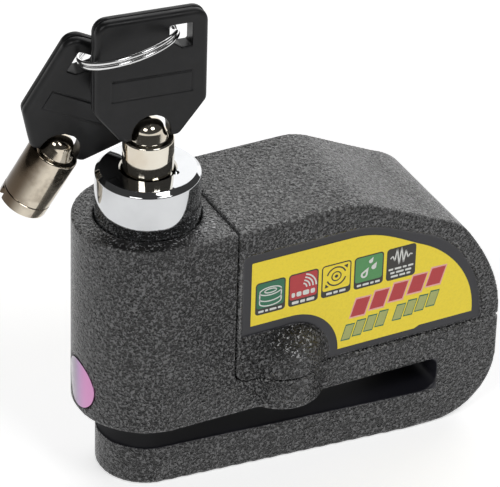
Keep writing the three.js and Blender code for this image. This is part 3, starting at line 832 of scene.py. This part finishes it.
def cap_screw(side, name):
    low = SLOT_TOP + 0.3
    head = lathe([
        (0, low), (3.1, low), (3.5, low + 0.4), (3.5, low + 3.8), (1.7, low + 3.8), (1.7, 28.6), (1.2, 29.2), (0, 29.2),
    ], 64, (BOSS_X, side * SCREW_Y, 0))
    socket = rod(1.6, low - 1, low + 2.0, BOSS_X, side * SCREW_Y, 6)
    combine(head, [socket])
    return finish_piece(head, f"cap_{name}", "housing", [SCREW_BLACK], [name], sharp=35)


chrome_sleeve()
side_plug()
return_spring(-1, "front")
return_spring(1, "back")
cap_screw(-1, "cover_screw_front")
cap_screw(1, "cover_screw_back")

# ---------------------------------------------------------------- keys


def key_1_place():
    return Matrix.Translation((0, 0, KEY_TOP)) @ Matrix.Rotation(KEY_TURN, 4, "Z")


def key_2_place():
    to_tip = Vector((-0.39, 0.252, -0.886)).normalized()
    across = Vector((0.892, -0.138, -0.431))
    across = (across - to_tip * across.dot(to_tip)).normalized()
    x = -across
    z = -to_tip
    y = z.cross(x)
    turn = Matrix((x, y, z)).transposed().to_4x4()
    return Matrix.Translation((-3.35, 4.95, 85.9)) @ turn


NOSE_R = 3.45
RIDGE_R = 2.8
WINDOW_R = 3.6
WINDOW_FOOT = 3.75
WINDOW_TOP = -19.9


def window_outline():
    """Arched window over the shank's nose, open at the head's foot."""
    arch = arc(0, WINDOW_TOP - WINDOW_R, WINDOW_R, 180, 0, 32)
    return [(-WINDOW_FOOT, -KEY_FOOT - 3)] + arch + [(WINDOW_FOOT, -KEY_FOOT - 3)]


def panel_frame(side):
    """A thin rectangular frame, sunk into one face of the head."""
    face = side * KEY_THICK / 2
    deep = 0.22
    low = min(face, face - side * deep) - (0.5 if side < 0 else 0)
    high = max(face, face - side * deep) + (0.5 if side > 0 else 0)
    outer = [(-7.6, -16.1), (7.7, -16.1), (7.7, -11.7), (-7.6, -11.7)]
    inner = [(-7.2, -15.7), (7.3, -15.7), (7.3, -12.1), (-7.2, -12.1)]
    return combine(prism(outer, low, high), [prism(inner, low - 1, high + 1)])


def key_grip(name, body, node, place):
    half = KEY_THICK / 2
    grip = prism(key_outline(), -half, half)
    round_edges(grip, 0.85, 4, 50)
    parting = prism(key_outline(), -0.16, 0.16)
    shrink = prism([(x * 0.96, (z + 12) * 0.965 - 12) for x, z in key_outline()], -1, 1)
    combine(parting, [shrink])
    cuts = [parting, prism(ring_hole_outline(), -5, 5), prism(window_outline(), -5, 5)]
    combine(grip, cuts)
    combine(grip, [panel_frame(-1), panel_frame(1)])
    moulded(grip, KEY_VOXEL, 2)
    return finish_piece(grip, name, body, [KEY_BLACK], [node], place)


def key_stem(name, body, node, place, finish):
    """Tube with a fine groove near its tip, a shoulder, and a bullet nose standing on it."""
    tip = -SHANK_TIP
    shoulder = -SHOULDER
    groove = tip + 2.3
    skin = SHANK_R - 0.04
    profile = [(0, -26.55), (SHANK_BORE, -26.55), (SHANK_BORE, tip + 0.25), (SHANK_BORE + 0.25, tip)]
    profile += [(skin - 0.35, tip), (skin - 0.08, tip + 0.12), (skin, tip + 0.4)]
    profile += [(skin, groove - 0.12), (skin - 0.14, groove), (skin - 0.02, groove + 0.14)]
    profile += [(skin, groove + 0.3), (skin, shoulder - 0.35)]
    profile += arc(skin - 0.35, shoulder - 0.35, 0.35, 20, 90, 4)
    profile += arc(NOSE_R + 0.2, shoulder + 0.2, 0.2, 270, 180, 4)
    ridge_z = shoulder + 1.65
    rise = 2.1
    profile += [(RIDGE_R + 0.06, ridge_z - 0.1)]
    profile += [(RIDGE_R * math.cos(math.radians(d)), ridge_z + rise * math.sin(math.radians(d)))
                for d in range(4, 88, 7)]
    stem = lathe(profile + [(0, ridge_z + rise)], 128)
    combine(stem, [block(2, 6, -0.8, 0.8, tip - 1, tip + 2.0)])
    return finish_piece(stem, name, body, [finish], [node], place, sharp=32)


def split_ring():
    """Two close turns; the wire steps from one to the other in the gap between its two ends."""
    step_from = 0.915
    step_to = 0.985
    offset = RING_WIRE + 0.03

    def rise(turn):
        climb = min(1.0, max(0.0, (turn - step_from) / (step_to - step_from)))
        return offset * (2 * climb * climb * (3 - 2 * climb) - 1)

    ring = wound_wire(RING_R, RING_WIRE, rise, 1 + step_from - 0.01, 240)
    lean = Vector((0, 0, 1)).rotation_difference(Vector((-0.186, 0.319, 0.929))).to_matrix().to_4x4()
    place = Matrix.Translation((-2.9, 2.66, 87.5)) @ lean
    return finish_piece(ring, "split_ring", "ring", [RING_STEEL], ["key_ring"], place, sharp=60)


key_grip("key_1_grip", "key_1", "key_1_head", key_1_place())
key_stem("key_1_stem", "key_1", "key_1_shank", key_1_place(), NICKEL)
key_grip("key_2_grip", "key_2", "key_2_head", key_2_place())
hanging = key_2_place()
key_2_nickel = nickel_painted_shade(hanging.translation, hanging.col[0].xyz)
key_stem("key_2_stem", "key_2", "key_2_shank", hanging, key_2_nickel)
split_ring()

# ---------------------------------------------------------------- stickers


def sheet_of(shapes, inks):
    """Thin printed shapes in X and Z: each is (outline, layer, ink number), one film on another."""
    bm = bmesh.new()
    for outline, layer, ink in shapes:
        y = -0.012 * layer
        top = [bm.verts.new((x, y, z)) for x, z in outline]
        base = [bm.verts.new((x, y + 0.012, z)) for x, z in outline]
        faces = [bm.faces.new(top), bm.faces.new(list(reversed(base)))]
        for i in range(len(top)):
            j = (i + 1) % len(top)
            faces.append(bm.faces.new((top[j], top[i], base[i], base[j])))
        for face in faces:
            face.material_index = ink
    bmesh.ops.recalc_face_normals(bm, faces=bm.faces)
    return link("print", bm)


def rounded(x0, z0, x1, z1, r=0.7):
    points = arc(x1 - r, z1 - r, r, 0, 90, 5) + arc(x0 + r, z1 - r, r, 90, 180, 5)
    return points + arc(x0 + r, z0 + r, r, 180, 270, 5) + arc(x1 - r, z0 + r, r, 270, 360, 5)


def stroke(points, width, closed=False):
    """Outlines of the straight pieces of a line of the given width."""
    ends = points + points[:1] if closed else points
    pieces = []
    for (ax, az), (bx, bz) in zip(ends, ends[1:]):
        length = math.hypot(bx - ax, bz - az)
        nx, nz = -(bz - az) / length * width / 2, (bx - ax) / length * width / 2
        pieces.append([(ax + nx, az + nz), (bx + nx, bz + nz), (bx - nx, bz - nz), (ax - nx, az - nz)])
    return pieces


def oval(cx, cz, rx, rz, start=0, end=360, steps=28):
    return [(cx + rx * math.cos(math.radians(start + (end - start) * i / steps)),
             cz + rz * math.sin(math.radians(start + (end - start) * i / steps))) for i in range(steps + 1)]


YELLOW, DARK, WHITE, RED, PINK, GREEN, LEAF, SAGE = range(8)
INKS = [STICKER, INK_DARK, INK_WHITE, INK_RED, INK_PINK, INK_GREEN, INK_LEAF, INK_SAGE]
ICON_LOW, ICON_HIGH = 34.85, 41.8
ICON_WIDTH = 6.1
ICON_PITCH = 6.75
ICON_LEFT = 15.35


def icon_tile(index, ink, band=True):
    x0 = ICON_LEFT + ICON_PITCH * index
    x1 = x0 + ICON_WIDTH
    shapes = [(rounded(x0, ICON_LOW, x1, ICON_HIGH), 2, DARK)]
    low = ICON_LOW + (1.35 if band else 0.25)
    shapes.append((rounded(x0 + 0.25, low, x1 - 0.25, ICON_HIGH - 0.25, 0.5), 3, ink))
    return x0, x1, shapes


def dashes(x0, x1, z, height, widths, layer=4, ink=WHITE):
    """A row of short plain dashes, filling a caption's place without any lettering."""
    total = sum(widths) + 0.3 * (len(widths) - 1)
    x = (x0 + x1 - total) / 2
    shapes = []
    for width in widths:
        shapes.append((rounded(x, z, x + width, z + height, height * 0.3), layer, ink))
        x += width + 0.3
    return shapes


def cell_icon():
    x0, x1, shapes = icon_tile(0, GREEN)
    mid = (x0 + x1) / 2
    for rx, rz, z in ((2.2, 0.85, 39.6), (1.2, 0.42, 39.65)):
        shapes += [(piece, 4, WHITE) for piece in stroke(oval(mid, z, rx, rz), 0.24)]
    for z in (38.3, 37.3):
        shapes += [(piece, 4, WHITE) for piece in stroke(oval(mid, z, 2.2, 0.85, 180, 360, 16), 0.24)]
    for side in (-1, 1):
        shapes += [(piece, 4, WHITE) for piece in stroke([(mid + side * 2.2, 39.6), (mid + side * 2.2, 37.3)], 0.24)]
    return shapes + dashes(x0, x1, 35.3, 0.45, (1.1, 0.6, 1.4, 0.8))


def sound_icon():
    x0, x1, shapes = icon_tile(1, RED)
    for r in (0.95, 1.6, 2.25, 2.9):
        shapes += [(piece, 4, WHITE) for piece in stroke(oval(x0 + 2.75, 38.4, r, r, 0, 75, 10), 0.3)]
    shapes += dashes(x0, x1, 36.75, 1.0, (0.7, 1.0, 1.3, 0.9), 4, WHITE)
    return shapes + dashes(x0, x1, 35.25, 0.6, (1.4, 1.0, 1.6))


def pin_icon():
    x0, x1, shapes = icon_tile(2, YELLOW)
    mid = (x0 + x1) / 2
    for start, end in ((20, 165), (200, 345)):
        shapes += [(piece, 4, DARK) for piece in stroke(oval(mid, 39.0, 1.95, 1.95, start, end, 18), 0.3)]
    shapes += [(piece, 4, DARK) for piece in stroke(oval(mid, 39.0, 0.95, 0.95, 0, 360, 20), 0.24)]
    shapes.append((oval(mid, 39.0, 0.35, 0.35, 0, 330, 11), 4, DARK))
    for sx, sz in ((1, 1), (-1, -1)):
        tip = (mid + sx * 2.35, 39.0 + sz * 2.1)
        shapes.append(([tip, (tip[0] - sx * 0.85, tip[1] - sz * 0.15), (tip[0] - sx * 0.15, tip[1] - sz * 0.85)], 4, DARK))
    return shapes + dashes(x0, x1, 35.3, 0.5, (1.2, 0.9, 1.3))


def drop(cx, cz, size, lean):
    points = arc(0, 0, size, -215, 35, 16) + [(0, size * 2.3)]
    c, s = math.cos(lean), math.sin(lean)
    return [(cx + x * c - z * s, cz + x * s + z * c) for x, z in points]


def drop_icon():
    x0, x1, shapes = icon_tile(3, LEAF)
    mid = (x0 + x1) / 2
    for dx, z, size in ((-0.95, 37.7, 0.72), (1.0, 38.9, 0.5), (0.35, 40.3, 0.42)):
        shapes.append((drop(mid + dx, z, size, math.radians(-32)), 4, WHITE))
    shapes.append((drop(mid - 0.95, 37.7, 0.32, math.radians(-32)), 5, LEAF))
    return shapes + dashes(x0, x1, 35.3, 0.45, (0.9, 1.3, 0.7, 1.0))


def shock_icon():
    x0, x1, shapes = icon_tile(4, DARK, False)
    mid = (x0 + x1) / 2
    swing = [0, 0.5, -0.6, 1.9, -1.6, 2.0, -1.4, 1.2, -0.5, 0.2, 0]
    wave = [(mid - 2.3 + 4.6 * i / (len(swing) - 1), 39.6 + h) for i, h in enumerate(swing)]
    shapes += [(piece, 4, WHITE) for piece in stroke(wave, 0.26)]
    shapes += dashes(x0, x1, 37.0, 0.42, (1.0, 1.4, 0.8, 1.1))
    shapes += dashes(x0, x1, 36.2, 0.42, (0.9, 1.6, 1.3))
    return shapes + dashes(x0, x1, 35.4, 0.42, (1.5, 1.2, 0.8))


def slanted(x, z, width, height, lean=1.1):
    return [(x, z), (x + width, z), (x + width + lean, z + height), (x + lean, z + height)]


def grown(outline, by):
    """The outline moved out from its middle by about the given distance."""
    cx = sum(x for x, _ in outline) / len(outline)
    cz = sum(z for _, z in outline) / len(outline)
    moved = []
    for x, z in outline:
        far = math.hypot(x - cx, z - cz)
        moved.append((x + (x - cx) / far * by, z + (z - cz) / far * by))
    return moved


def slanted_rows():
    """Two rising rows of plain slanted blocks in the place of the wording."""
    shapes = []
    for i in range(5):
        outline = slanted(35.3 + 3.95 * i, 29.1 + 0.6 * i, 2.75, 3.4)
        shapes.append((grown(outline, 0.55), 2, PINK))
        shapes.append((grown(outline, 0.12), 3, RED))
    for i in range(8):
        gap = 1.3 if i > 3 else 0.0
        outline = slanted(33.6 + 2.35 * i + gap, 24.5 + 0.36 * i, 1.55, 2.7, 0.85)
        shapes.append((grown(outline, 0.42), 2, GREEN))
        shapes.append((grown(outline, 0.12), 3, SAGE))
    return shapes


def sticker(side, word):
    art = [(label_outline(0.0), 1, YELLOW)]
    art.append((grown(label_outline(0.0), 0.14), 0, DARK))
    for icon in (cell_icon, sound_icon, pin_icon, drop_icon, shock_icon):
        art += icon()
    art += slanted_rows()
    film = sheet_of(art, INKS)
    if side > 0:
        film.data.transform(Matrix.Rotation(math.pi, 4, "Z"))
        film.data.transform(Matrix.Scale(-1, 4, (1, 0, 0)))
        film.data.flip_normals()
    place = Matrix.Translation((0, side * (HALF - LABEL_DEPTH + 0.03), 0))
    return finish_piece(film, f"sticker_{word}", "housing", INKS, [f"label_{word}"], place, sharp=30)


sticker(-1, "front")
sticker(1, "back")
finish_hidden_nodes()

# ---------------------------------------------------------------- floor, light and camera


def floor():
    bm = bmesh.new()
    bmesh.ops.create_grid(bm, x_segments=2, y_segments=2, size=1.4)
    plane = link("floor", bm)
    plane.location = (0.02, 0, -0.0002)
    pale = Finish("pale_floor", (0.93, 0.93, 0.93), 0.7)
    cloud = pale.noise(0.01, 2.0)
    pale.color(pale.mix(cloud, (0.92, 0.92, 0.92), (0.94, 0.94, 0.94)))
    pale.shader.inputs["Emission Color"].default_value = (1, 1, 1, 1)
    pale.shader.inputs["Emission Strength"].default_value = 0.55
    plane.data.materials.append(pale.material)


def soft_light(name, azimuth, elevation, distance, size, radiance):
    """A square softbox aimed at the lock; azimuth 0 is in front, positive to the right."""
    a = math.radians(azimuth)
    e = math.radians(elevation)
    light = bpy.data.lights.new(name, "AREA")
    light.size = size
    light.energy = radiance * math.pi * size ** 2
    obj = bpy.data.objects.new(name, light)
    bpy.context.scene.collection.objects.link(obj)
    toward = Vector((math.sin(a) * math.cos(e), -math.cos(a) * math.cos(e), math.sin(e)))
    aim = Vector((0.02, 0, 0.04))
    obj.location = aim + toward * distance
    obj.rotation_euler = toward.to_track_quat("Z", "Y").to_euler()


def surroundings(strength):
    world = bpy.data.worlds.new("studio")
    world.use_nodes = True
    world.node_tree.nodes["Background"].inputs["Color"].default_value = (1, 1, 1, 1)
    world.node_tree.nodes["Background"].inputs["Strength"].default_value = strength
    bpy.context.scene.world = world


def camera():
    azimuth = math.radians(-27.93)
    elevation = math.radians(32.93)
    roll = math.radians(1.7)
    back = Vector((
        math.sin(azimuth) * math.cos(elevation), -math.cos(azimuth) * math.cos(elevation), math.sin(elevation)))
    level = Vector((math.cos(azimuth), math.sin(azimuth), 0))
    right = level * math.cos(roll) + back.cross(level) * math.sin(roll)
    up = back.cross(right)
    lens = bpy.data.cameras.new("camera")
    lens.lens = 275.6
    lens.sensor_width = 36
    obj = bpy.data.objects.new("camera", lens)
    bpy.context.scene.collection.objects.link(obj)
    aim = Vector((24.0, 5.7, 37.0)) * MM
    place = Matrix((right, up, back)).transposed().to_4x4()
    place.translation = aim + back * 0.7089
    obj.matrix_world = place
    bpy.context.scene.camera = obj


floor()
surroundings(0.06)
soft_light("back_softbox", 142, 25, 1.2, 1.4, 1.45)
soft_light("left_softbox", -55, 42, 1.0, 0.35, 6.0)
soft_light("right_softbox", 18, 52, 1.0, 0.35, 6.0)
camera()
bpy.context.scene.view_settings.view_transform = "Standard"
